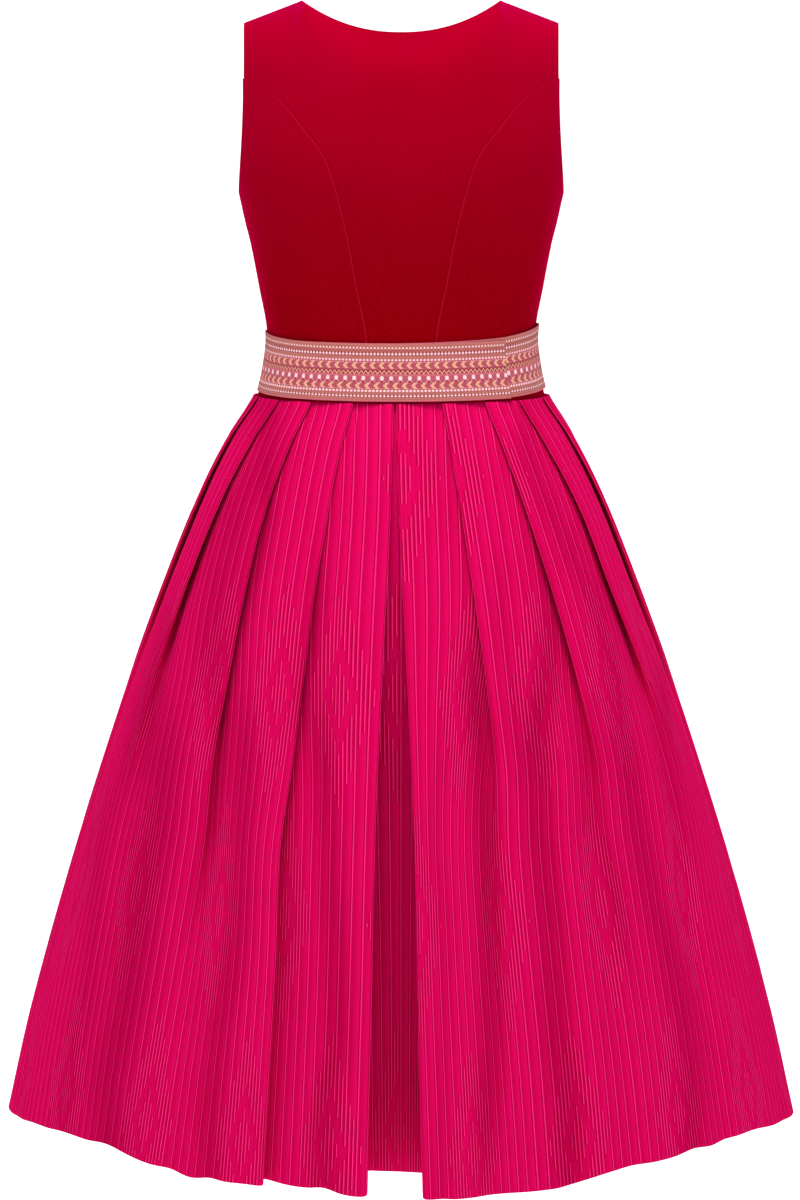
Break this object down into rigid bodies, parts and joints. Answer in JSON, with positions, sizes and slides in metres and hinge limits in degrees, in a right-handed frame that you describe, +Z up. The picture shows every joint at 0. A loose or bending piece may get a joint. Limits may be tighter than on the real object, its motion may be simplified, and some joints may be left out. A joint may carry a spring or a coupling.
{
  "type": "dirndl dress",
  "caption": "Sleeveless dirndl: fitted velvet bodice with princess seams, woven border belt lapped at the back, and a full knife-pleated midi skirt.",
  "frame": {"origin": "midway between the middles of the two shoulder seams, 1.139 m above the hem", "axes": "+Z up, -Y out of the dress's back, +X to the wearer's right"},
  "size_m": [0.8215, 0.6505, 1.15],
  "materials": {
    "velvet": "deep red cotton velvet",
    "ribbon": "woven jacquard ribbon",
    "skirt_cloth": "corded pink jacquard",
    "closure": "cotton tape with painted hooks"
  },
  "bodies": {
    "root": {"back_centre": "velvet", "back_side_left": "velvet", "back_side_right": "velvet", "front_centre_left": "velvet", "front_centre_right": "velvet", "front_side_left": "velvet", "front_side_right": "velvet", "belt": "ribbon", "skirt_back": "skirt_cloth", "skirt_front": "skirt_cloth", "hook_tape": "closure", "eye_tape": "closure"}
  },
  "joints": []
}
